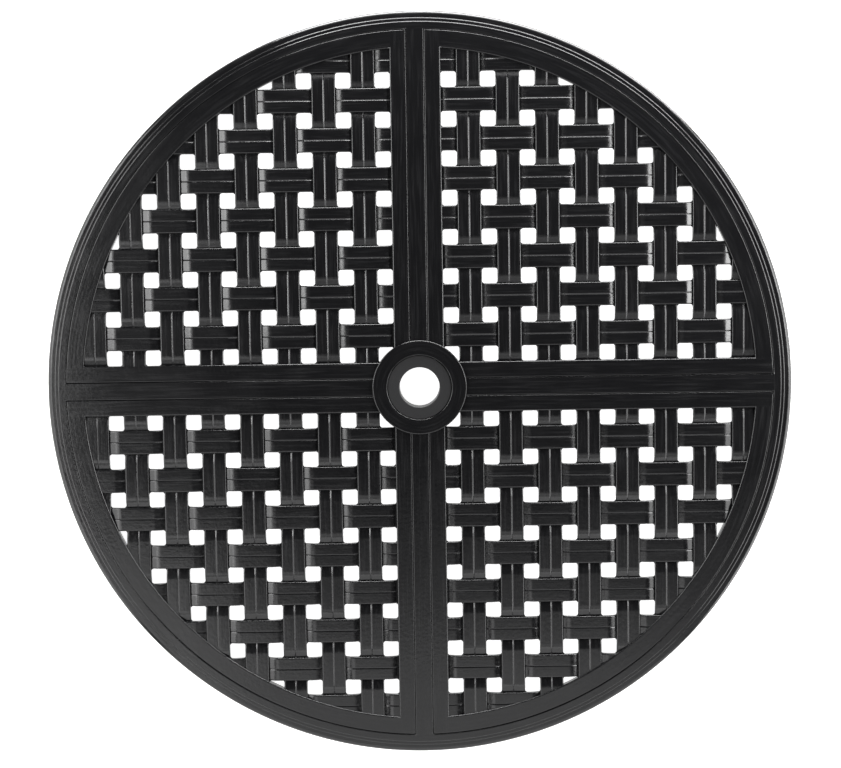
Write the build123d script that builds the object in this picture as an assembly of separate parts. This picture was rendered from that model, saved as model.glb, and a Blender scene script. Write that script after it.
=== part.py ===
"""Round cast-aluminium patio table top, 42 in across: one cast frame (rim, cross and hub), four
basket-weave panels screwed down into it, an umbrella collar with a lift-out ring, and four leg
plates underneath.

Frame: millimetres, +Z up, origin on the table's axis at the bottom edge of the skirt. The cross
arms lie along X and Y, and the four panels are mirror images of the one between +X and +Y.
"""
from build123d import *
import os
from math import ceil, cos, radians, sin

# ---- Overall sizes ----
top_diameter = 1067.0  # 42 in
top_height = 44.0  # bottom of the skirt to the flat top face

# ---- Rim ----
moulding_width = 16.4  # stepped edge outside the flat band
band_width = 10.8  # flat band between the panels and the stepped edge
bead_width = 5.2  # first step of the moulding
bead_drop = 3.0
bead_fall = 2.4  # from the first step down to where the outer roll starts
roll_radius = 6.5  # outer roll, where the step turns down into the skirt
skirt_thickness = 7.0
foot_radius = 2.5  # rounding of the skirt's bottom outer corner
rim_wall = 6.0  # wall round the panels' seat
channel_roof_drop = 10.5  # underside channel's roof below the flat top face
edge_round = 1.2  # rounding of the visible top edges

# ---- Cross, ledges and hub ----
arm_width = 24.6  # flat strip seen between two panels
ledge_width = 16.0  # how far a ledge reaches under a panel
ledge_thickness = 5.0
web_thickness = 8.0  # rib under each arm
hub_wall = 7.95  # hub round the collar's spigot
hub_ledge_width = 7.6

# ---- Panels ----
panel_gap = 0.7  # joint line round each panel
arc_border = 24.7  # border beside the rim
straight_border = 22.8  # border beside an arm
hub_border = 7.8  # border beside the hub, under the collar
weave_recess = 2.0  # top of the weave below the border's face

# ---- Weave ----
weave_pitch = 55.6  # band to band
opening_size = 21.8  # side of a see-through opening
opening_corner = 4.2
strap_thickness = 5.6
wave_height = 4.4  # from an over crossing down to an under crossing
over_shoulder = 6.0  # flat of an over strap past the edge of its crossing
under_shoulder = 6.5  # an under strap starts to rise this far inside its crossing
groove_width = 2.4  # line between the two straps of a band
groove_depth = 0.8

# ---- Umbrella collar and ring ----
collar_overlap = 0.9  # collar past the panels' hub border
collar_rise = 4.0  # collar above the flat top face
collar_wall = 3.8  # wall round the ring's seat
collar_floor = 7.0  # under the ring's flange
sleeve_wall = 3.4
sleeve_floor_gap = 12.0  # bottom of the collar's sleeve above the skirt's bottom
ring_flange_width = 13.1
ring_flange_thickness = 5.0
ring_rise = 2.0  # ring's flange above the flat top face
umbrella_bore_radius = 28.6  # 2 1/4 in hole
ring_wall = 4.3
ring_bottom_gap = 2.0  # bottom of the ring above the bottom of the sleeve
ring_clearance = 0.25  # radial, so that the ring lifts out by hand
spigot_clearance = 0.2  # radial, collar in the hub

# ---- Leg plates ----
plate_length = 92.0  # along the arm
plate_width = 64.0
plate_thickness = 5.0
plate_corner = 8.0
plate_rim_gap = 70.0  # outer end of a plate to the inside of the skirt
plate_floor_gap = 6.0  # underside of a plate above the skirt's bottom
boss_radius = 10.0
boss_spacing = 60.0  # between the two bosses of a plate
leg_hole_along = 64.0
leg_hole_across = 42.0
leg_hole_radius = 4.5
leg_nut_across_flats = 13.0  # M8 weld nut
leg_nut_height = 6.5
leg_nut_bore_radius = 4.0

# ---- Screws: shank radius, head radius, head height, hex socket across flats ----
panel_screw = (2.5, 4.75, 2.8, 3.0)
collar_screw = (2.5, 4.5, 2.8, 3.0)
leg_screw = (3.0, 6.0, 3.3, 4.0)
screw_clearance = 0.4  # radial, in a through hole
thread_clearance = 0.05  # radial, in a tapped hole
hole_spare = 1.0  # tapped hole beyond the end of its screw
skin_over_hole = 3.0  # metal left above a tapped hole
arc_screws = 3  # along the arc of a panel
side_screws = 2  # along each straight side of a panel

# ---- Worked out from the sizes above ----
rim_radius = top_diameter / 2
flat_radius = rim_radius - moulding_width
seat_radius = flat_radius - band_width
skirt_inner_radius = rim_radius - skirt_thickness
panel_depth = weave_recess + strap_thickness + wave_height
ledge_top = top_height - panel_depth
ledge_bottom = ledge_top - ledge_thickness
channel_roof = top_height - channel_roof_drop
web_bottom = plate_floor_gap + plate_thickness

ring_sleeve_radius = umbrella_bore_radius + ring_wall
ring_flange_radius = ring_sleeve_radius + ring_flange_width
collar_bore_radius = ring_sleeve_radius + ring_clearance
sleeve_radius = collar_bore_radius + sleeve_wall
ring_seat_radius = ring_flange_radius + ring_clearance
spigot_radius = ring_seat_radius + collar_wall
hub_radius = spigot_radius + hub_wall
ring_top = top_height + ring_rise
ring_seat = ring_top - ring_flange_thickness
spigot_bottom = ring_seat - collar_floor
ring_bottom = sleeve_floor_gap + ring_bottom_gap
collar_screw_circle = (sleeve_radius + spigot_radius) / 2

panel_side = arm_width / 2 + panel_gap
panel_outer_radius = seat_radius - panel_gap
panel_inner_radius = hub_radius + panel_gap
window_side = panel_side + straight_border
window_outer_radius = panel_outer_radius - arc_border
window_inner_radius = panel_inner_radius + hub_border
collar_radius = window_inner_radius + collar_overlap

band_span = weave_pitch - opening_size
first_band = window_side + opening_size + band_span / 2
band_count = ceil((window_outer_radius - first_band + band_span / 2) / weave_pitch)
weave_top = top_height - weave_recess

plate_centre = skirt_inner_radius - plate_rim_gap - plate_length / 2

quadrants = {  # name: signs of X and Y
    "north_east": (1, 1),
    "north_west": (-1, 1),
    "south_west": (-1, -1),
    "south_east": (1, -1),
}
arms = {"east": 0, "north": 90, "west": 180, "south": 270}


def ring_solid(points_and_arcs):
    """Solid of revolution about Z from a closed (r, z) outline drawn as edges."""
    return revolve(Plane.XZ * make_face(points_and_arcs), Axis.Z)


def disc(radius, bottom, top):
    return Pos(0, 0, bottom) * extrude(Circle(radius), top - bottom)


def quarter(side, inner, outer, bottom, top):
    """The stretch between +X and +Y that lies past side on both axes and between two radii."""
    block = Pos(side, side) * Rectangle(outer, outer, align=Align.MIN)
    outline = block & Circle(outer)
    return Pos(0, 0, bottom) * extrude(outline - Circle(inner), top - bottom)


def in_all_quadrants(shape):
    across = shape + mirror(shape, Plane.YZ)
    return across + mirror(across, Plane.XZ)


def panel_screw_points():
    """Where the screws of the panel between +X and +Y stand, as (x, y)."""
    arc_radius = seat_radius - ledge_width / 2
    side = arm_width / 2 + ledge_width / 2
    points = []
    for k in range(arc_screws):
        angle = radians(90 * (k + 0.5) / arc_screws)
        points.append((arc_radius * cos(angle), arc_radius * sin(angle)))
    for k in range(side_screws):
        along = hub_radius + (seat_radius - hub_radius) * (k + 1) / (side_screws + 1)
        points += [(along, side), (side, along)]
    return points


def plate_points(along, across):
    """Corners of a rectangle on the +X arm's leg plate, as (x, y)."""
    return [
        (plate_centre + sx * along / 2, sy * across / 2) for sx in (1, -1) for sy in (1, -1)
    ]


def boss_points():
    return [(plate_centre + s * boss_spacing / 2, 0) for s in (1, -1)]


def collar_screw_points():
    """Between the arms, so that the heads clear the webs."""
    circle = collar_screw_circle
    return [
        (circle * cos(radians(a)), circle * sin(radians(a))) for a in (45, 135, 225, 315)
    ]


def panel_screw_length():
    """Shank from under the ledge to skin_over_hole below the panel's face."""
    return top_height - skin_over_hole - hole_spare - ledge_bottom


def collar_screw_length():
    return ring_seat - skin_over_hole / 2 - hole_spare - ledge_bottom


def leg_screw_length():
    return ledge_top - skin_over_hole - hole_spare - plate_floor_gap


def hole_at(point, radius, bottom, top):
    return Pos(*point, bottom) * extrude(Circle(radius), top - bottom)


def screw_at(point, seat, length, kind):
    """Pan-head socket screw driven upwards: its head hangs below seat, its shank goes up."""
    shank, head, head_height, socket = kind
    body = Pos(0, 0, seat - head_height) * extrude(Circle(head), head_height)
    body = fillet(body.edges().group_by(Axis.Z)[0], head_height * 0.35)
    body += Pos(0, 0, seat) * extrude(Circle(shank), length)
    key = extrude(RegularPolygon(socket / 2, 6, major_radius=False), head_height * 0.6)
    return Pos(*point, 0) * (body - Pos(0, 0, seat - head_height) * key)


# ---- Frame casting ----
def rim():
    """Flat band, stepped moulding, outer roll, skirt and underside channel, turned in one."""
    top = top_height
    bead_z = top - bead_drop
    bead_r = flat_radius + bead_width
    roll_z = bead_z - bead_fall
    roll_start = rim_radius - roll_radius
    wall_radius = seat_radius + rim_wall
    e = edge_round
    outline = [
        Line((seat_radius - 1, top), (flat_radius - e, top)),
        RadiusArc((flat_radius - e, top), (flat_radius, top - e), e),
        Line((flat_radius, top - e), (flat_radius, bead_z)),
        Line((flat_radius, bead_z), (bead_r - e, bead_z)),
        RadiusArc((bead_r - e, bead_z), (bead_r, bead_z - e), e),
        Line((bead_r, bead_z - e), (bead_r, roll_z)),
        Line((bead_r, roll_z), (roll_start, roll_z)),
        RadiusArc((roll_start, roll_z), (rim_radius, roll_z - roll_radius), roll_radius),
        Line((rim_radius, roll_z - roll_radius), (rim_radius, foot_radius)),
        RadiusArc((rim_radius, foot_radius), (rim_radius - foot_radius, 0), foot_radius),
        Line((rim_radius - foot_radius, 0), (skirt_inner_radius, 0)),
        Line((skirt_inner_radius, 0), (skirt_inner_radius, channel_roof)),
        Line((skirt_inner_radius, channel_roof), (wall_radius, channel_roof)),
        Line((wall_radius, channel_roof), (wall_radius, ledge_bottom)),
        Line((wall_radius, ledge_bottom), (seat_radius - 1, ledge_bottom)),
        Line((seat_radius - 1, ledge_bottom), (seat_radius - 1, top)),
    ]
    return ring_solid(outline)


def frame_casting():
    pocket = quarter(arm_width / 2, hub_radius, seat_radius, ledge_top, top_height)
    ledge_side = arm_width / 2 + ledge_width
    well = quarter(
        ledge_side,
        hub_radius + hub_ledge_width,
        seat_radius - ledge_width,
        ledge_bottom,
        ledge_top,
    )
    frame = rim() + disc(seat_radius, ledge_bottom, top_height)
    frame -= in_all_quadrants(pocket)
    frame -= in_all_quadrants(well)

    flat_edges = frame.edges().filter_by(GeomType.LINE).group_by(Axis.Z)[-1]
    seat_arcs = [
        arc
        for arc in frame.edges().filter_by(GeomType.CIRCLE).group_by(Axis.Z)[-1]
        if abs(arc.radius - seat_radius) < 0.01
    ]
    frame = fillet([*flat_edges, *seat_arcs], edge_round)

    web_length = skirt_inner_radius + 1
    web_height = channel_roof + 1 - web_bottom
    for angle in arms.values():
        web = Pos(web_length / 2, 0, web_bottom + web_height / 2) * Box(
            web_length, web_thickness, web_height
        )
        frame += Rot(0, 0, angle) * web
        for point in boss_points():
            frame += Rot(0, 0, angle) * hole_at(point, boss_radius, web_bottom, ledge_bottom)

    frame -= disc(spigot_radius + spigot_clearance, spigot_bottom, top_height)
    frame -= disc(sleeve_radius + spigot_clearance, 0, top_height)
    for point in collar_screw_points():
        frame -= hole_at(point, collar_screw[0] + screw_clearance, 0, spigot_bottom)
    shared = [
        hole_at(point, panel_screw[0] + screw_clearance, 0, ledge_top)
        for point in panel_screw_points()
    ]
    frame -= in_all_quadrants(Part() + shared)
    tapped_top = plate_floor_gap + leg_screw_length() + hole_spare
    for angle in arms.values():
        for point in boss_points():
            tapped = hole_at(point, leg_screw[0] + thread_clearance, 0, tapped_top)
            frame -= Rot(0, 0, angle) * tapped
    return frame


# ---- Weave panel ----
def wave_edges(levels, lift):
    """One side of a strap along its length: flat at each crossing, an S-bend between two. The
    flat is long where the strap goes over and short where it goes under."""
    edges = []
    for k, level in enumerate(levels):
        centre = first_band + (k - 1) * weave_pitch
        half_flat = band_span / 2 + (over_shoulder if level == weave_top else -under_shoulder)
        start = (centre - half_flat, level + lift)
        if edges:
            middle = ((end[0] + start[0]) / 2, (end[1] + start[1]) / 2)
            edges.append(TangentArc(end, middle, tangent=(1, 0)))
            edges.append(TangentArc(start, middle, tangent=(-1, 0)))
        end = (centre + half_flat, level + lift)
        edges.append(Line(start, end))
    return edges


def strip(levels, low, high, plane, width):
    """Wavy strip between two heights measured from the strap's top, centred on the plane."""
    upper = wave_edges(levels, high)
    lower = wave_edges(levels, low)
    ends = [Line(lower[0] @ 0, upper[0] @ 0), Line(lower[-1] @ 1, upper[-1] @ 1)]
    return extrude(plane * make_face([*upper, *lower, *ends]), width / 2, both=True)


def band(index, along_x):
    """A band of two straps with a groove between them; along X it goes over where index + k is
    even, along Y where it is odd."""
    levels = []
    for k in range(-1, band_count + 1):
        over = (index + k) % 2 == (0 if along_x else 1)
        levels.append(weave_top if over else weave_top - wave_height)
    plane = Plane.XZ if along_x else Plane.YZ
    place = first_band + index * weave_pitch
    at = Pos(0, place, 0) if along_x else Pos(place, 0, 0)
    strap = strip(levels, -strap_thickness, 0, plane, band_span)
    groove = strip(levels, -groove_depth, 1, plane, groove_width)
    return at * (strap - groove)


def corner_plate():
    """Thin web between the straps that rounds the corners of the openings."""
    inset = 0.1
    size = opening_size + 4 * inset
    centres = [window_side + opening_size / 2 + k * weave_pitch for k in range(band_count + 1)]
    holes = [
        Pos(x, y) * RectangleRounded(size, size, opening_corner) for x in centres for y in centres
    ]
    reach = window_outer_radius
    sheet = Pos(window_side / 2, window_side / 2) * Rectangle(reach, reach, align=Align.MIN)
    bottom = weave_top - strap_thickness + inset
    thickness = strap_thickness - wave_height - 2 * inset
    return Pos(0, 0, bottom) * extrude(sheet - holes, thickness)


def weave_panel():
    """The panel between +X and +Y: border, weave and tapped holes."""
    outline = (panel_side, panel_inner_radius, panel_outer_radius, ledge_top, top_height)
    overlap = 3.0  # how far the weave runs into the border
    window = (window_side, window_inner_radius, window_outer_radius, ledge_top, top_height)
    border = quarter(*outline) - quarter(*window)
    border = fillet(border.edges().group_by(Axis.Z)[-1], edge_round)

    bands = [band(k, along_x) for k in range(band_count) for along_x in (True, False)]
    weave = bands[0] + [*bands[1:], corner_plate()]
    weave &= quarter(
        window_side - overlap,
        window_inner_radius - overlap,
        window_outer_radius + overlap,
        0,
        top_height,
    )
    panel = border + weave
    for point in panel_screw_points():
        top = ledge_bottom + panel_screw_length() + hole_spare
        panel -= hole_at(point, panel_screw[0] + thread_clearance, ledge_top - 1, top)
    return panel


def panel_in(quadrant, shape):
    sx, sy = quadrants[quadrant]
    if sx < 0:
        shape = mirror(shape, Plane.YZ)
    if sy < 0:
        shape = mirror(shape, Plane.XZ)
    return shape


# ---- Umbrella collar and ring ----
def umbrella_collar():
    """Flanged collar let into the hub, with a sleeve down through it and a seat for the ring."""
    top = top_height + collar_rise
    collar = disc(collar_radius, top_height, top)
    collar += disc(spigot_radius, spigot_bottom, top_height)
    collar += disc(sleeve_radius, sleeve_floor_gap, spigot_bottom)
    collar -= disc(ring_seat_radius, ring_seat, top)
    collar -= disc(collar_bore_radius, sleeve_floor_gap, ring_seat)
    rings = collar.edges().filter_by(GeomType.CIRCLE)
    collar = fillet([e for e in rings if abs((e @ 0).Z - top) < 0.01], edge_round)
    tapped_top = ledge_bottom + collar_screw_length() + hole_spare
    for point in collar_screw_points():
        tapped = hole_at(point, collar_screw[0] + thread_clearance, spigot_bottom - 1, tapped_top)
        collar -= tapped
    return collar


def umbrella_ring():
    """Loose ring that stands in the collar and takes the umbrella pole."""
    ring = disc(ring_flange_radius, ring_seat, ring_top)
    ring += disc(ring_sleeve_radius, ring_bottom, ring_seat)
    ring -= disc(umbrella_bore_radius, ring_bottom, ring_top)
    rings = ring.edges().filter_by(GeomType.CIRCLE)
    return fillet([e for e in rings if abs((e @ 0).Z - ring_top) < 0.01], edge_round)


# ---- Leg plates ----
def leg_plate():
    """The +X arm's plate, which the bolts of a leg go up through."""
    outline = Pos(plate_centre, 0) * RectangleRounded(plate_length, plate_width, plate_corner)
    plate = Pos(0, 0, plate_floor_gap) * extrude(outline, plate_thickness)
    top = plate_floor_gap + plate_thickness
    for point in plate_points(leg_hole_along, leg_hole_across):
        plate -= hole_at(point, leg_hole_radius, plate_floor_gap, top)
    for point in boss_points():
        plate -= hole_at(point, leg_screw[0] + screw_clearance, plate_floor_gap, top)
    return plate


def leg_nut(point):
    """Weld nut on top of the plate."""
    hexagon = RegularPolygon(leg_nut_across_flats / 2, 6, major_radius=False)
    outline = hexagon - Circle(leg_nut_bore_radius)
    return Pos(*point, plate_floor_gap + plate_thickness) * extrude(outline, leg_nut_height)


def screws_at(points, seat, length, kind):
    return Compound([screw_at(point, seat, length, kind) for point in points])


def save(shape, name):
    export_step(shape, f"parts/{name}.step")


# ---- Every piece ----
os.makedirs("parts", exist_ok=True)

save(frame_casting(), "frame_casting")

panel = weave_panel()
panel_screws = screws_at(panel_screw_points(), ledge_bottom, panel_screw_length(), panel_screw)
for quadrant in quadrants:
    save(panel_in(quadrant, panel), f"panel_{quadrant}")
    save(panel_in(quadrant, panel_screws), f"panel_screws_{quadrant}")

save(umbrella_collar(), "umbrella_collar")
save(umbrella_ring(), "umbrella_ring")
collar_screws = screws_at(
    collar_screw_points(), ledge_bottom, collar_screw_length(), collar_screw
)
save(collar_screws, "collar_screws")

plate = leg_plate()
plate_screws = screws_at(boss_points(), plate_floor_gap, leg_screw_length(), leg_screw)
plate_nuts = Compound(
    [leg_nut(point) for point in plate_points(leg_hole_along, leg_hole_across)]
)
for arm, angle in arms.items():
    turn = Rot(0, 0, angle)
    save(turn * plate, f"leg_plate_{arm}")
    save(turn * plate_screws, f"leg_plate_screws_{arm}")
    save(turn * plate_nuts, f"leg_nuts_{arm}")
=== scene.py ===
import math

import bmesh
import bpy
from mathutils import Matrix, Vector


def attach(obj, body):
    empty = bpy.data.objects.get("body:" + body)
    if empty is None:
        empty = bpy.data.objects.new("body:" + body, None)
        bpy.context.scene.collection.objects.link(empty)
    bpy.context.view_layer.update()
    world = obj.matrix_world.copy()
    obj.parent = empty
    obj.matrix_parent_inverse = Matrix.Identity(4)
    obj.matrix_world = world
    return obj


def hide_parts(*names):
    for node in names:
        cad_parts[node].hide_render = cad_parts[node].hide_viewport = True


# Round cast aluminium table top with a basket weave. Sizes here are in millimetres and mm turns
# them to metres. +Z is up and the arms of the cross lie along X and Y, as in the CAD model.

mm = 0.001
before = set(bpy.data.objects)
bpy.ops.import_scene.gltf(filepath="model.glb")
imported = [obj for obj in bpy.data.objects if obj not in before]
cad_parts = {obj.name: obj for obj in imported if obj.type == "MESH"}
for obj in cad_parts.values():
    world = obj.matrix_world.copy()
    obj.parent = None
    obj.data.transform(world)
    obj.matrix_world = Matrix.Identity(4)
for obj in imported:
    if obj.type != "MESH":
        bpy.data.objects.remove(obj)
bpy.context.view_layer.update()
bpy.ops.object.select_all(action="DESELECT")
print("frame loaded,", len(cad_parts), "nodes")


def activate(obj):
    bpy.ops.object.select_all(action="DESELECT")
    obj.select_set(True)
    bpy.context.view_layer.objects.active = obj


def openEdit(obj, kind="FACE", everything=False):
    activate(obj)
    bpy.ops.object.mode_set(mode="EDIT")
    bpy.ops.mesh.select_mode(type=kind)
    bpy.ops.mesh.select_all(action="SELECT" if everything else "DESELECT")


def closeEdit():
    bpy.ops.object.mode_set(mode="OBJECT")


def pick(obj, kind, wanted):
    mesh = bmesh.from_edit_mesh(obj.data)
    for item in getattr(mesh, kind):
        item.select_set(bool(wanted(item)))
    mesh.select_flush_mode()
    bmesh.update_edit_mesh(obj.data)


def settle(obj, name=None):
    activate(obj)
    bpy.ops.object.transform_apply(location=True, rotation=True, scale=True)
    if name:
        obj.name = name
        obj.data.name = name
    return obj


def copyOf(obj, name):
    twin = obj.copy()
    twin.data = obj.data.copy()
    bpy.context.collection.objects.link(twin)
    twin.name = name
    twin.data.name = name
    return twin


def joined(objs, name):
    activate(objs[0])
    for obj in objs:
        obj.select_set(True)
    bpy.ops.object.join()
    objs[0].name = name
    objs[0].data.name = name
    return objs[0]


def useModifier(obj, kind, **settings):
    activate(obj)
    modifier = obj.modifiers.new(kind, kind)
    for key, value in settings.items():
        setattr(modifier, key, value)
    bpy.ops.object.modifier_apply(modifier=modifier.name)


def combine(obj, tool, how):
    useModifier(obj, "BOOLEAN", operation=how, object=tool, solver="EXACT")
    bpy.data.objects.remove(tool)


def smoothPiece(obj):
    activate(obj)
    bpy.ops.object.shade_smooth_by_angle(angle=math.radians(40))
    useModifier(obj, "WEIGHTED_NORMAL", keep_sharp=True, weight=100)


def tidyMesh(obj):
    openEdit(obj, "VERT", everything=True)
    bpy.ops.mesh.remove_doubles(threshold=0.005 * mm)
    bpy.ops.mesh.dissolve_limited(angle_limit=math.radians(0.2))
    bpy.ops.mesh.select_all(action="SELECT")
    bpy.ops.mesh.normals_make_consistent(inside=False)
    closeEdit()


roundSteps = 288  # sides of every large circle, so that neighbours' facets line up


def roundBlock(radius, low, high, at=(0, 0), steps=roundSteps):
    bpy.ops.mesh.primitive_cylinder_add(
        vertices=steps, radius=radius * mm, depth=(high - low) * mm,
        location=(at[0] * mm, at[1] * mm, (low + high) / 2 * mm))
    return settle(bpy.context.object)


def boxBlock(sizeX, sizeY, low, high, at=(0, 0)):
    bpy.ops.mesh.primitive_cube_add(size=1, location=(at[0] * mm, at[1] * mm, (low + high) / 2 * mm))
    block = bpy.context.object
    block.scale = (sizeX * mm, sizeY * mm, (high - low) * mm)
    return settle(block)


def quarterBlock(side, inner, outer, low, high):
    # a drum cut down to what lies past side on both axes, with its inner corner cored out
    block = roundBlock(outer, low, high)
    openEdit(block)
    for normal in ((1, 0, 0), (0, 1, 0)):
        bpy.ops.mesh.select_all(action="SELECT")
        bpy.ops.mesh.bisect(plane_co=[side * mm * n for n in normal], plane_no=normal,
                            use_fill=True, clear_inner=True)
    closeEdit()
    combine(block, roundBlock(inner, low - 5, high + 5), "DIFFERENCE")
    return block


def fourTimes(block):
    # the block and its three quarter turns, as one mesh
    turns = [block]
    for quarter in (1, 2, 3):
        twin = copyOf(block, block.name + str(quarter))
        twin.rotation_euler[2] = quarter * math.pi / 2
        turns.append(settle(twin))
    return joined(turns, block.name)


def turned(name, outline, closed=True, steps=roundSteps):
    # a ring of edges extruded from point to point of the outline, each one (radius, height)
    radius, height = outline[0]
    bpy.ops.mesh.primitive_circle_add(vertices=steps, radius=radius * mm, location=(0, 0, height * mm))
    piece = settle(bpy.context.object, name)
    openEdit(piece, "EDGE", everything=True)
    for nextRadius, nextHeight in outline[1:] + (outline[:1] if closed else []):
        bpy.ops.mesh.extrude_region_move()
        grow = nextRadius / radius
        bpy.ops.transform.resize(value=(grow, grow, 1), center_override=(0, 0, 0))
        bpy.ops.transform.translate(value=(0, 0, (nextHeight - height) * mm))
        radius, height = nextRadius, nextHeight
    if closed:
        bpy.ops.mesh.select_all(action="SELECT")
        bpy.ops.mesh.remove_doubles(threshold=0.002 * mm)
    else:
        bpy.ops.mesh.edge_face_add()
        pick(piece, "edges", lambda e: e.is_boundary)
        bpy.ops.mesh.edge_face_add()
    bpy.ops.mesh.select_all(action="SELECT")
    bpy.ops.mesh.normals_make_consistent(inside=False)
    closeEdit()
    return piece


def roundRings(piece, rings):
    # rings are (radius, height, rounding) of the edges to soften
    openEdit(piece, "EDGE")
    for radius, height, size in rings:
        def onRing(edge):
            return all(abs(math.hypot(v.co.x, v.co.y) - radius * mm) < 0.02 * mm
                       and abs(v.co.z - height * mm) < 0.02 * mm for v in edge.verts)
        pick(piece, "edges", onRing)
        bpy.ops.mesh.bevel(offset=size * mm, segments=4, profile=0.5)
    closeEdit()


def linear(hexColour):
    values = [int(hexColour[k:k + 2], 16) / 255 for k in (1, 3, 5)]
    return [v / 12.92 if v <= 0.04045 else ((v + 0.055) / 1.055) ** 2.4 for v in values] + [1]


def addNode(tree, kind, settings=None, links=None):
    node = tree.nodes.new(kind)
    for key, value in (settings or {}).items():
        if isinstance(key, int) or key in node.inputs:
            node.inputs[key].default_value = value
        else:
            setattr(node, key, value)
    for key, socket in (links or {}).items():
        tree.links.new(socket, node.inputs[key])
    return node


def newMaterial(name, colour, roughness, metallic=0.0):
    material = bpy.data.materials.new(name)
    material.use_nodes = True
    tree = material.node_tree
    shader = tree.nodes["Principled BSDF"]
    shader.inputs["Base Color"].default_value = linear(colour)
    shader.inputs["Roughness"].default_value = roughness
    shader.inputs["Metallic"].default_value = metallic
    return material, tree, shader


powderCoat = {
    "colour": "#0e0e0f",  # jet black polyester powder
    "colourWorn": "#1a1a1b",  # where the film lies thinner over the casting's lines
    "roughness": (0.12, 0.24),  # satin, with a smoother skin on the high spots
    "lineSpacing": 2.4,  # mm across the drawn lines left by the pattern's wood grain
    "lineLength": 60,  # mm along them
    "peel": 1.1,  # mm, orange peel of the cured powder
    "mottle": 5,  # mm, slow waves of the casting left under the powder
    "lineDepth": 0.07,  # mm
    "peelDepth": 0.03,  # mm
    "mottleDepth": 0.14,  # mm
}

crossLines = {"half": 35.3, "reach": 505.9}  # mm, where the drawn lines run along an arm


def coatedCasting(name, run):
    # black satin powder coat over a sand casting: fine drawn lines along each part, slow waves of
    # the casting's skin, and the faint orange peel of the powder. run is x, y, round or cross.
    material, tree, shader = newMaterial(name, powderCoat["colour"], 0.3)
    place = addNode(tree, "ShaderNodeTexCoord").outputs["Object"]
    across = 1000 / powderCoat["lineSpacing"]
    along = 1000 / powderCoat["lineLength"]
    ways = {"x": (along, across, across), "y": (across, along, across)}
    grain = {}
    for way in "xy":
        grain[way] = addNode(tree, "ShaderNodeVectorMath", {"operation": "MULTIPLY", 1: ways[way]},
                             {0: place}).outputs[0]
    if run in ("round", "cross"):
        flat = addNode(tree, "ShaderNodeVectorMath", {"operation": "MULTIPLY", 1: (1, 1, 0)}, {0: place})
        radius = addNode(tree, "ShaderNodeVectorMath", {"operation": "LENGTH"}, {0: flat.outputs[0]})
        parts = addNode(tree, "ShaderNodeSeparateXYZ", None, {0: place})
        angle = addNode(tree, "ShaderNodeMath", {"operation": "ARCTAN2"},
                        {0: parts.outputs[1], 1: parts.outputs[0]})
        ring = addNode(tree, "ShaderNodeCombineXYZ", None,
                       {0: angle.outputs[0], 1: radius.outputs["Value"], 2: parts.outputs[2]})
        turns = 0.5 * along if run == "cross" else 0.06 * along
        grain["round"] = addNode(tree, "ShaderNodeVectorMath",
                                 {"operation": "MULTIPLY", 1: (turns, across, across)},
                                 {0: ring.outputs[0]}).outputs[0]
    if run == "cross":
        # along an arm inside its borders, round the table everywhere else
        inside = addNode(tree, "ShaderNodeMath", {"operation": "LESS_THAN", 1: crossLines["reach"] * mm},
                         {0: radius.outputs["Value"]})
        masks = []
        for axis in (1, 0):
            side = addNode(tree, "ShaderNodeMath", {"operation": "ABSOLUTE"}, {0: parts.outputs[axis]})
            onArm = addNode(tree, "ShaderNodeMath", {"operation": "LESS_THAN", 1: crossLines["half"] * mm},
                            {0: side.outputs[0]})
            masks.append(addNode(tree, "ShaderNodeMath", {"operation": "MULTIPLY"},
                                 {0: onArm.outputs[0], 1: inside.outputs[0]}))
        first = addNode(tree, "ShaderNodeMix", {"data_type": "VECTOR"},
                        {0: masks[0].outputs[0], 4: grain["round"], 5: grain["x"]})
        second = addNode(tree, "ShaderNodeMix", {"data_type": "VECTOR"},
                         {0: masks[1].outputs[0], 4: first.outputs[1], 5: grain["y"]})
        way = second.outputs[1]
    else:
        way = grain[run]
    lines = addNode(tree, "ShaderNodeTexNoise", {"Scale": 1.0, "Detail": 3.0, "Roughness": 0.6},
                    {"Vector": way})
    peel = addNode(tree, "ShaderNodeTexNoise", {"Scale": 1000 / powderCoat["peel"], "Detail": 1.0},
                   {"Vector": place})
    cloud = addNode(tree, "ShaderNodeTexNoise", {"Scale": 22.0, "Detail": 3.0}, {"Vector": place})  # 45 mm
    low, high = powderCoat["roughness"]
    spread = addNode(tree, "ShaderNodeMath", {"operation": "ADD"},
                     {0: lines.outputs[0], 1: cloud.outputs[0]})
    gloss = addNode(tree, "ShaderNodeMapRange",
                    {"From Min": 0.7, "From Max": 1.3, "To Min": low, "To Max": high},
                    {"Value": spread.outputs[0]})
    tree.links.new(gloss.outputs[0], shader.inputs["Roughness"])
    worn = addNode(tree, "ShaderNodeMapRange", {"From Min": 0.5, "From Max": 0.8},
                   {"Value": lines.outputs[0]})
    tint = addNode(tree, "ShaderNodeMix", {"data_type": "RGBA", 6: linear(powderCoat["colour"]),
                                           7: linear(powderCoat["colourWorn"])}, {0: worn.outputs[0]})
    tree.links.new(tint.outputs[2], shader.inputs["Base Color"])
    drawn = addNode(tree, "ShaderNodeBump", {"Strength": 1.0, "Distance": powderCoat["lineDepth"] * mm},
                    {"Height": lines.outputs[0]})
    skin = addNode(tree, "ShaderNodeBump", {"Strength": 1.0, "Distance": powderCoat["peelDepth"] * mm},
                   {"Height": peel.outputs[0], "Normal": drawn.outputs[0]})
    mottle = addNode(tree, "ShaderNodeTexNoise", {"Scale": 1000 / powderCoat["mottle"], "Detail": 2.0},
                     {"Vector": place})
    waves = addNode(tree, "ShaderNodeBump", {"Strength": 1.0, "Distance": powderCoat["mottleDepth"] * mm},
                    {"Height": mottle.outputs[0], "Normal": skin.outputs[0]})
    tree.links.new(waves.outputs[0], shader.inputs["Normal"])
    return material


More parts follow.
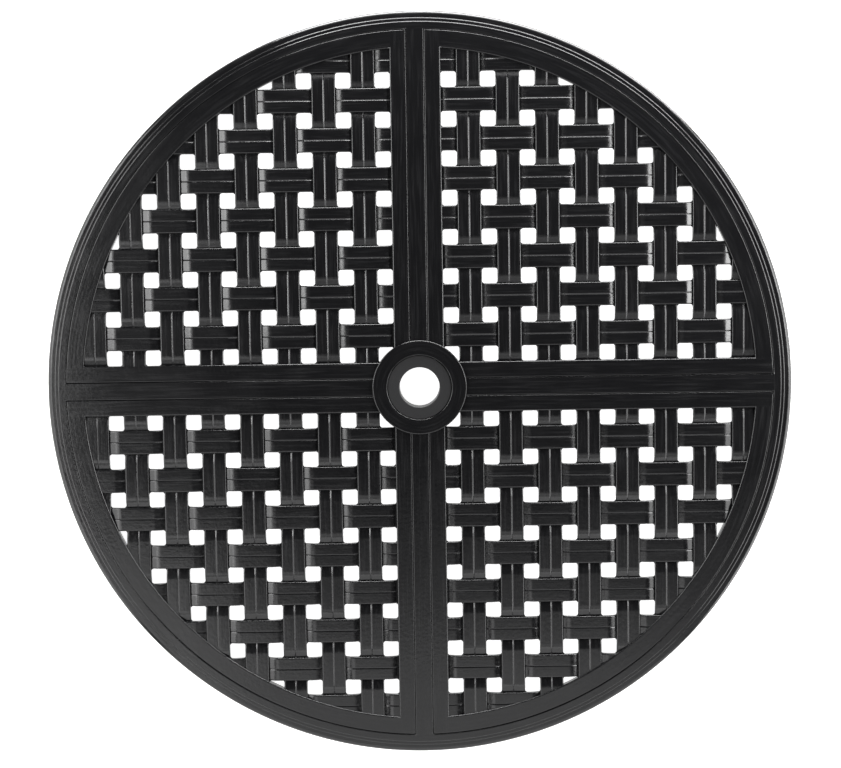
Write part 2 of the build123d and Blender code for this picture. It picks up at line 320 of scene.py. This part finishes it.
def platedSteel():
    # clear zinc plating on a rolled or turned steel: pale grey, faintly cloudy
    material, tree, shader = newMaterial("zincPlatedSteel", "#b4b6b8", 0.35, 1.0)
    place = addNode(tree, "ShaderNodeTexCoord").outputs["Object"]
    cloud = addNode(tree, "ShaderNodeTexNoise", {"Scale": 160.0, "Detail": 4.0}, {"Vector": place})  # 6 mm
    gloss = addNode(tree, "ShaderNodeMapRange", {"To Min": 0.25, "To Max": 0.5},
                    {"Value": cloud.outputs[0]})
    tree.links.new(gloss.outputs[0], shader.inputs["Roughness"])
    tint = addNode(tree, "ShaderNodeMix",
                   {"data_type": "RGBA", 6: linear("#a4a6a9"), 7: linear("#c3c4c2")},
                   {0: cloud.outputs[0]})
    tree.links.new(tint.outputs[2], shader.inputs["Base Color"])
    fine = addNode(tree, "ShaderNodeBump", {"Strength": 0.5, "Distance": 0.02 * mm},
                   {"Height": cloud.outputs[0]})
    tree.links.new(fine.outputs[0], shader.inputs["Normal"])
    return material


def mouldedNylon():
    # black nylon with the fine spark-eroded grain of its mould
    material, tree, shader = newMaterial("mouldedNylon", "#161617", 0.45)
    place = addNode(tree, "ShaderNodeTexCoord").outputs["Object"]
    grit = addNode(tree, "ShaderNodeTexNoise", {"Scale": 1400.0, "Detail": 2.0}, {"Vector": place})  # 0.7 mm
    gloss = addNode(tree, "ShaderNodeMapRange", {"To Min": 0.36, "To Max": 0.52},
                    {"Value": grit.outputs[0]})
    tree.links.new(gloss.outputs[0], shader.inputs["Roughness"])
    fine = addNode(tree, "ShaderNodeBump", {"Strength": 0.6, "Distance": 0.02 * mm},
                   {"Height": grit.outputs[0]})
    tree.links.new(fine.outputs[0], shader.inputs["Normal"])
    return material


coats = {
    "strapX": coatedCasting("powderCoatStrapX", "x"),
    "strapY": coatedCasting("powderCoatStrapY", "y"),
    "cast": coatedCasting("powderCoatCasting", "cross"),
    "collar": coatedCasting("powderCoatCollar", "round"),
    "zinc": platedSteel(),
    "nylon": mouldedNylon(),
}
print("finishes made")


def finish(obj, coat):
    obj.data.materials.clear()
    obj.data.materials.append(coats[coat])


rim = {
    "top": 44, "outer": 533.5, "flat": 517.1, "seat": 506.3,
    "bead": 522.3, "beadHeight": 41, "rollStart": 527, "rollHeight": 38.6, "roll": 6.5,
    "skirtInner": 526.5, "foot": 2.5, "wall": 512.3, "channelRoof": 33.5, "round": 1.2,
    "rootRadius": 480,  # where the disc of ledges and arms starts
}
cross = {
    "arm": 24.6, "ledgeTop": 32, "ledgeBottom": 27, "ledge": 16, "hub": 58, "hubLedge": 7.6,
    "web": 8, "webBottom": 11, "boss": 10, "plateCentre": 410.5, "bossSpacing": 60,
    "spigotBore": 50.25, "sleeveBore": 36.75, "spigotFloor": 34,
}


def quarterArc(centre, radius, start, steps):
    # points of a quarter turn, anticlockwise from the angle start
    points = []
    for k in range(steps + 1):
        angle = math.radians(start + 90 * k / steps)
        points.append((centre[0] + radius * math.cos(angle), centre[1] + radius * math.sin(angle)))
    return points


def makeFrame():
    outline = [(rim["rootRadius"], cross["ledgeBottom"]), (rim["wall"], cross["ledgeBottom"]),
               (rim["wall"], rim["channelRoof"]), (rim["skirtInner"], rim["channelRoof"]),
               (rim["skirtInner"], 0)]
    outline += quarterArc((rim["outer"] - rim["foot"], rim["foot"]), rim["foot"], -90, 4)
    outline += quarterArc((rim["rollStart"], rim["rollHeight"] - rim["roll"]), rim["roll"], 0, 8)
    outline += [(rim["bead"], rim["rollHeight"]), (rim["bead"], rim["beadHeight"]),
                (rim["flat"], rim["beadHeight"]), (rim["flat"], rim["top"])]
    piece = turned("castFrame", outline, closed=False)
    roundRings(piece, [(rim["flat"], rim["top"], rim["round"]),
                       (rim["bead"], rim["beadHeight"], rim["round"]),
                       (rim["flat"], rim["beadHeight"], 0.6), (rim["bead"], rim["rollHeight"], 0.6),
                       (rim["skirtInner"], 0, 1)])
    side = cross["arm"] / 2
    pockets = quarterBlock(side, cross["hub"], rim["seat"], cross["ledgeTop"], rim["top"] + 5)
    combine(piece, fourTimes(pockets), "DIFFERENCE")
    wells = quarterBlock(side + cross["ledge"], cross["hub"] + cross["hubLedge"],
                         rim["seat"] - cross["ledge"], cross["ledgeBottom"] - 5, cross["ledgeTop"] + 0.01)
    combine(piece, fourTimes(wells), "DIFFERENCE")
    for sizeX, sizeY in ((1, 0), (0, 1)):
        reach = 2 * rim["skirtInner"] + 1
        web = boxBlock(reach if sizeX else cross["web"], reach if sizeY else cross["web"],
                       cross["webBottom"], rim["channelRoof"] + 1)
        combine(piece, web, "UNION")
    bosses = []
    for step in (-0.5, 0.5):
        at = cross["plateCentre"] + step * cross["bossSpacing"]
        boss = roundBlock(cross["boss"], cross["webBottom"], cross["ledgeBottom"] + 1, (at, 0), 32)
        bosses.append(fourTimes(boss))
    combine(piece, joined(bosses, "bosses"), "UNION")
    combine(piece, roundBlock(cross["sleeveBore"], -5, 60, steps=96), "DIFFERENCE")
    combine(piece, roundBlock(cross["spigotBore"], cross["spigotFloor"], 60, steps=96), "DIFFERENCE")
    tidyMesh(piece)
    openEdit(piece, "EDGE")
    pick(piece, "edges", lambda e: len(e.link_faces) == 2 and e.calc_face_angle() > 1
         and all(abs(v.co.z - rim["top"] * mm) < 0.02 * mm for v in e.verts)
         and math.hypot(*(e.verts[0].co.xy)) < 510 * mm)
    bpy.ops.mesh.bevel(offset=rim["round"] * mm, segments=4, profile=0.5)
    closeEdit()
    finish(piece, "cast")
    smoothPiece(piece)
    return piece


castFrame = makeFrame()
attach(castFrame, "top")
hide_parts("frame_casting")
print("frame casting made")


weave = {
    "side": 35.8, "outer": 480.9, "inner": 66.5, "pitch": 55.6, "opening": 21.8, "corner": 4.2,
    "top": 42, "thickness": 5.6, "drop": 4.4, "overShoulder": 6, "underShoulder": 6.5,
    "groove": 1, "grooveDepth": 0.7, "edge": 2, "bands": 8, "bendSteps": 8,
    "tuck": 11,  # how far a band runs on under its border
}
border = {"side": 13, "outer": 505.6, "inner": 58.7, "bottom": 32, "top": 44, "round": 1.2,
          "windowRound": 2}
bandWidth = weave["pitch"] - weave["opening"]
firstBand = weave["side"] + weave["opening"] + bandWidth / 2


def makeBorder():
    piece = quarterBlock(border["side"], border["inner"], border["outer"], border["bottom"], border["top"])
    window = quarterBlock(weave["side"], weave["inner"], weave["outer"], border["bottom"] - 5,
                          border["top"] + 5)
    combine(piece, window, "DIFFERENCE")
    tidyMesh(piece)

    def onWindow(vert):
        away = math.hypot(vert.co.x, vert.co.y)
        return (min(vert.co.x, vert.co.y) > (weave["side"] - 1) * mm
                and (weave["inner"] - 1) * mm < away < (weave["outer"] + 1) * mm)

    openEdit(piece, "EDGE")
    for atWindow, size in ((True, border["windowRound"]), (False, border["round"])):
        pick(piece, "edges", lambda e: len(e.link_faces) == 2 and e.calc_face_angle() > 1
             and all(abs(v.co.z - border["top"] * mm) < 0.02 * mm and onWindow(v) == atWindow
                     for v in e.verts))
        bpy.ops.mesh.bevel(offset=size * mm, segments=5, profile=0.5)
    closeEdit()
    finish(piece, "cast")
    return piece


def bendDrop(along, length, drop):
    # height lost part way down an S of two equal arcs
    half = length / 2
    radius = (half * half + drop * drop / 4) / drop
    if along <= half:
        return radius - math.sqrt(radius * radius - along * along)
    return drop - (radius - math.sqrt(radius * radius - (length - along) ** 2))


def makeBandUnit():
    # one over crossing and one under crossing of a band of two straps, starting half way over
    overFlat = bandWidth / 2 + weave["overShoulder"]
    underFlat = bandWidth / 2 - weave["underShoulder"]
    bend = weave["pitch"] - overFlat - underFlat
    fall = []
    last = 0
    for k in range(1, weave["bendSteps"] + 1):
        lost = bendDrop(bend * k / weave["bendSteps"], bend, weave["drop"])
        fall.append((bend / weave["bendSteps"], last - lost))
        last = lost
    climb = [(step, -rise) for step, rise in reversed(fall)]
    moves = fall + [(2 * underFlat, 0)] + climb + [(overFlat, 0)]
    unit = boxBlock(overFlat, bandWidth, weave["top"] - weave["thickness"], weave["top"],
                    (overFlat / 2, 0))
    openEdit(unit)
    end = overFlat * mm
    pick(unit, "faces", lambda f: f.normal.x > 0.9)
    for along, rise in moves:
        bpy.ops.mesh.extrude_region_move(TRANSFORM_OT_translate={"value": (along * mm, 0, rise * mm)})
    for offset in (-weave["groove"], 0, weave["groove"]):
        bpy.ops.mesh.select_all(action="SELECT")
        bpy.ops.mesh.bisect(plane_co=(0, offset * mm, 0), plane_no=(0, 1, 0))
    length = 2 * weave["pitch"] * mm
    pick(unit, "faces", lambda f: f.normal.x < -0.9 and f.calc_center_median().x < 0.01 * mm
         or f.normal.x > 0.9 and f.calc_center_median().x > length - 0.01 * mm)
    bpy.ops.mesh.delete(type="FACE")
    bpy.ops.mesh.select_mode(type="VERT")
    pick(unit, "verts", lambda v: abs(v.co.y) < 0.01 * mm and v.normal.z > 0.5)
    bpy.ops.transform.translate(value=(0, 0, -weave["grooveDepth"] * mm))
    bpy.ops.mesh.select_mode(type="EDGE")
    runs = [(bandWidth / 2, weave["edge"], 4), (weave["groove"], 0.4, 2)]
    for offset, size, steps in runs:
        pick(unit, "edges", lambda e: abs(e.verts[0].co.x - e.verts[1].co.x) > 0.1 * mm
             and e.verts[0].co.y * e.verts[1].co.y > 0
             and all(abs(abs(v.co.y) - offset * mm) < 0.01 * mm and v.normal.z > 0 for v in e.verts))
        bpy.ops.mesh.bevel(offset=size * mm, segments=steps, profile=0.5)
    closeEdit()
    return unit


def makeBand(unit, index, along):
    # copies of the unit end to end, slid so that the crossings alternate, then cut to length
    band = copyOf(unit, "band")
    useModifier(band, "ARRAY", count=6, use_relative_offset=False, use_constant_offset=True,
                constant_offset_displace=(2 * weave["pitch"] * mm, 0, 0), use_merge_vertices=True,
                merge_threshold=0.01 * mm)
    overFirst = (index % 2 == 0) if along == "x" else (index % 2 == 1)
    start = firstBand - (2 if overFirst else 1) * weave["pitch"]
    place = firstBand + index * weave["pitch"]
    band.location = (start * mm, place * mm, 0) if along == "x" else (place * mm, start * mm, 0)
    band.rotation_euler[2] = 0 if along == "x" else math.pi / 2
    settle(band)
    reach = (weave["outer"] + border["outer"]) / 2
    far = math.sqrt(reach * reach - place * place)
    cuts = [((weave["side"] - weave["tuck"], place), (-1, 0)),
            ((far, place), (far / reach, place / reach))]
    openEdit(band)
    for point, normal in cuts:
        if along == "y":
            point, normal = point[::-1], normal[::-1]
        bpy.ops.mesh.select_all(action="SELECT")
        bpy.ops.mesh.bisect(plane_co=(point[0] * mm, point[1] * mm, 0), plane_no=(*normal, 0),
                            use_fill=True, clear_outer=True)
    bpy.ops.mesh.select_all(action="SELECT")
    bpy.ops.mesh.normals_make_consistent(inside=False)
    closeEdit()
    finish(band, "strapX" if along == "x" else "strapY")
    return band


def makeCornerWeb():
    # thin plate between the straps whose rounded holes give the openings their corners
    low = weave["top"] - weave["thickness"] + 0.1
    high = weave["top"] - weave["drop"] - 0.1
    plate = quarterBlock(weave["side"] - weave["tuck"], border["inner"] + 2,
                         (weave["outer"] + border["outer"]) / 2, low, high)
    size = weave["opening"] + 0.4
    at = weave["side"] + weave["opening"] / 2
    punch = boxBlock(size, size, low - 5, high + 5, (at, at))
    openEdit(punch, "EDGE")
    pick(punch, "edges", lambda e: abs(e.verts[0].co.z - e.verts[1].co.z) > 1 * mm)
    bpy.ops.mesh.bevel(offset=weave["corner"] * mm, segments=5, profile=0.5)
    closeEdit()
    for axis in (0, 1):
        step = [0, 0, 0]
        step[axis] = weave["pitch"] * mm
        useModifier(punch, "ARRAY", count=weave["bands"] + 1, use_relative_offset=False,
                    use_constant_offset=True, constant_offset_displace=step)
    combine(plate, punch, "DIFFERENCE")
    finish(plate, "cast")
    return plate


def makePanel():
    unit = makeBandUnit()
    pieces = [makeBorder(), makeCornerWeb()]
    for index in range(weave["bands"]):
        pieces += [makeBand(unit, index, "x"), makeBand(unit, index, "y")]
    bpy.data.objects.remove(unit)
    return joined(pieces, "weavePanel")


panel = makePanel()
quarters = {"NorthEast": (1, 1), "NorthWest": (-1, 1), "SouthWest": (-1, -1), "SouthEast": (1, -1)}
for corner, (signX, signY) in quarters.items():
    piece = copyOf(panel, "weavePanel" + corner)
    piece.scale = (signX, signY, 1)
    settle(piece)
    if signX * signY < 0:
        openEdit(piece, everything=True)
        bpy.ops.mesh.flip_normals()
        closeEdit()
    smoothPiece(piece)
    node = "panel_" + ("north" if signY > 0 else "south") + "_" + ("east" if signX > 0 else "west")
    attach(piece, "top")
    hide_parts(node)
bpy.data.objects.remove(panel)
print("weave panels made")


collar = {"outer": 67.4, "top": 48, "seat": 46.25, "seatHeight": 41, "bore": 33.15, "sleeve": 36.55,
          "spigot": 50.05, "spigotFloor": 34, "bottom": 12, "under": 44, "round": 1.6}
ring = {"outer": 46, "top": 46, "seatHeight": 41, "sleeve": 32.9, "bore": 28.6, "bottom": 14, "round": 1.4}

umbrellaCollar = turned("umbrellaCollar", [
    (collar["bore"], collar["bottom"]), (collar["sleeve"], collar["bottom"]),
    (collar["sleeve"], collar["spigotFloor"]), (collar["spigot"], collar["spigotFloor"]),
    (collar["spigot"], collar["under"]), (collar["outer"], collar["under"]),
    (collar["outer"], collar["top"]), (collar["seat"], collar["top"]),
    (collar["seat"], collar["seatHeight"]), (collar["bore"], collar["seatHeight"]),
], steps=128)
roundRings(umbrellaCollar, [
    (collar["outer"], collar["top"], collar["round"]), (collar["seat"], collar["top"], 1.2),
    (collar["bore"], collar["bottom"], 0.6), (collar["sleeve"], collar["bottom"], 0.6),
])
umbrellaRing = turned("umbrellaRing", [
    (ring["bore"], ring["bottom"]), (ring["sleeve"], ring["bottom"]), (ring["sleeve"], ring["seatHeight"]),
    (ring["outer"], ring["seatHeight"]), (ring["outer"], ring["top"]), (ring["bore"], ring["top"]),
], steps=128)
roundRings(umbrellaRing, [(ring["outer"], ring["top"], ring["round"]), (ring["bore"], ring["top"], 1.2),
                          (ring["sleeve"], ring["bottom"], 0.8)])
for piece, coat, body, node, slot in (
        (umbrellaCollar, "collar", "top", "umbrella_collar", "cast_collar"),
        (umbrellaRing, "nylon", "umbrella_ring", "umbrella_ring", "black_nylon")):
    finish(piece, coat)
    smoothPiece(piece)
    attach(piece, body)
    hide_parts(node)
print("collar and ring made")

for name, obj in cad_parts.items():
    if "screws" in name or "nuts" in name or "plate" in name:
        finish(obj, "zinc")


floorSettings = {"size": 60, "colour": "#f4f4f2", "glow": 1.0}
bpy.ops.mesh.primitive_plane_add(size=floorSettings["size"], location=(0, 0, -0.2 * mm))
studioFloor = settle(bpy.context.object, "studioFloor")
floorMaterial, _, floorShader = newMaterial("whitePaper", floorSettings["colour"], 0.9)
floorShader.inputs["Emission Color"].default_value = linear("#ffffff")
floorShader.inputs["Emission Strength"].default_value = floorSettings["glow"]
studioFloor.data.materials.append(floorMaterial)

softboxes = {  # middle and face of each in metres, width, height, brightness
    "westNorthBox": ((-1.05, 0.45, 0.85), (-1, 0, 0), 0.9, 0.8, 23),
    "westSouthBox": ((-1.05, -0.45, 0.85), (-1, 0, 0), 0.9, 0.8, 10),
    "westHighBox": ((-0.86, 0.15, 0.95), (-0.6, 0, 0.8), 1.4, 0.34, 7),
    "westStrip": ((-1, -0.1, 0.2), (-1, 0, 0), 1.6, 0.3, 10),
    "eastBox": ((1.1, 0.45, 0.72), (1, 0, 0), 1.0, 0.44, 48),
    "eastSouthBox": ((1.1, -0.5, 0.74), (1, 0, 0), 0.9, 0.5, 14),
    "eastStrip": ((1, -0.1, 0.22), (1, 0, 0), 1.6, 0.36, 18),
    "northStrip": ((0.35, 1, 0.16), (0, 1, 0), 1.5, 0.28, 80),
    "northBox": ((0.3, 1, 0.5), (0, 1, 0), 1.2, 0.4, 8),
    "southBox": ((0, -1, 0.55), (0, -1, 0), 1.8, 1.0, 5),
    "southHighBox": ((0, -1, 1.5), (0, -1, 0.6), 1.8, 0.9, 2.4),
    "topSouthWestBox": ((-1.1, -1.1, 2.6), (0, 0, 1), 1, 1, 5),
    "topSouthBox": ((0.2, -1.1, 2.6), (0, 0, 1), 1.6, 1, 1.2),
    "topWestBox": ((-1.1, 0, 2.6), (0, 0, 1), 1, 1, 0.6),
}
for name, (middle, facing, width, height, glow) in softboxes.items():
    bpy.ops.object.light_add(type="AREA", location=middle)
    box = bpy.context.object
    box.name = name
    box.data.shape = "RECTANGLE"
    box.data.size = width
    box.data.size_y = height
    box.data.energy = glow * width * height
    box.rotation_euler = Vector(facing).to_track_quat("Z", "Y").to_euler()

world = bpy.data.worlds.new("studio")
world.use_nodes = True
world.node_tree.nodes["Background"].inputs[0].default_value = linear("#ffffff")
world.node_tree.nodes["Background"].inputs[1].default_value = 0.004
bpy.context.scene.world = world
bpy.context.scene.view_settings.view_transform = "Standard"

cameraSettings = {"distance": 2.737, "lens": 81.96, "tilt": (-4.96, 0.27, -0.81),
                  "shift": (0.0011, 0.0039)}
bpy.ops.object.camera_add()
camera = bpy.context.object
camera.data.lens = cameraSettings["lens"]
camera.data.sensor_width = 36
camera.data.shift_x, camera.data.shift_y = cameraSettings["shift"]
tilt = [math.radians(t) for t in cameraSettings["tilt"]]
turn = (Matrix.Rotation(tilt[0], 4, "X") @ Matrix.Rotation(tilt[1], 4, "Y")
        @ Matrix.Rotation(tilt[2], 4, "Z"))
aim = Matrix.Translation((0, 0, rim["top"] * mm))  # the middle of the top face
camera.matrix_world = aim @ turn @ Matrix.Translation((0, 0, cameraSettings["distance"]))
bpy.context.scene.camera = camera
print("stage set")
